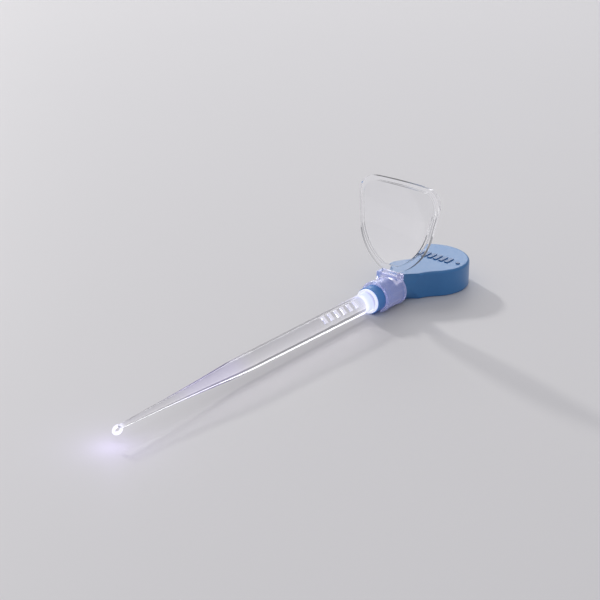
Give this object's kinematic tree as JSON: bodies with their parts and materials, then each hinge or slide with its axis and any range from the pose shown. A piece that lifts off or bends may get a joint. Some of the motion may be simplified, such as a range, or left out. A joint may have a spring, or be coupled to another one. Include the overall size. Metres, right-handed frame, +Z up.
{
  "type": "lighted ear curette with magnifier",
  "caption": "Battery-lit ear curette: flat round light handle with a round neck, a clear pull-out rod ending in a small loop, and a clear shield-shaped magnifier on a swivelling collar.",
  "frame": {"origin": "middle of the round head's flat underside, on the surface the light rests on", "axes": "+X along the neck and the clear rod, towards the loop; +Z up; Y across the head"},
  "size_m": [0.1554, 0.03, 0.0395],
  "materials": {
    "case_plastic": "satin",
    "white_plastic": "satin",
    "gasket_plastic": "matte",
    "film_plastic": "satin",
    "screw_steel": "satin",
    "cell_steel": "satin",
    "contact_nickel": "satin",
    "spring_steel": "satin",
    "lead_steel": "satin",
    "contact_brass": "satin",
    "ring_rubber": "matte",
    "ferrule_plastic": "gloss",
    "lamp_epoxy": "gloss",
    "clear_rod": "gloss",
    "clear_collar": "gloss",
    "clear_lens": "gloss"
  },
  "bodies": {
    "handle": {"lower_shell": "case_plastic", "upper_shell": "case_plastic", "case_screws": "screw_steel", "cell_cradle": "white_plastic", "cell_can": "cell_steel", "cell_cap": "cell_steel", "cell_gasket": "gasket_plastic", "insulator_ring": "film_plastic", "negative_contact": "contact_nickel", "positive_contact": "contact_nickel", "return_spring": "spring_steel", "grip_ring": "ring_rubber", "neck_ferrule": "ferrule_plastic"},
    "lamp_slide": {"lamp_carrier": "white_plastic", "lamp_body": "lamp_epoxy", "anode_lead": "lead_steel", "cathode_lead": "lead_steel", "moving_contact": "contact_brass"},
    "curette": {"curette": "clear_rod"},
    "magnifier": {"lens_collar": "clear_collar", "magnifier_lens": "clear_lens"}
  },
  "joints": [
    {"name": "curette_pull", "type": "slide", "parent": "handle", "child": "curette", "axis": [1, 0, 0], "range_m": [0, 0.0107]},
    {"name": "lamp_switch", "type": "slide", "parent": "handle", "child": "lamp_slide", "axis": [1, 0, 0], "range_m": [0, 0.00105], "stiffness_N_per_m": 250, "springref_m": 0.0016, "deforming": ["return_spring"]},
    {"name": "magnifier_swivel", "type": "hinge", "parent": "handle", "child": "magnifier", "pos_m": [0.026, 0, 0.0043], "axis": [1, 0, 0], "range_deg": [-60, 60]}
  ],
  "couplings": [
    {"joint": "lamp_switch", "follows": "curette_pull", "ratio": 0.098}
  ]
}
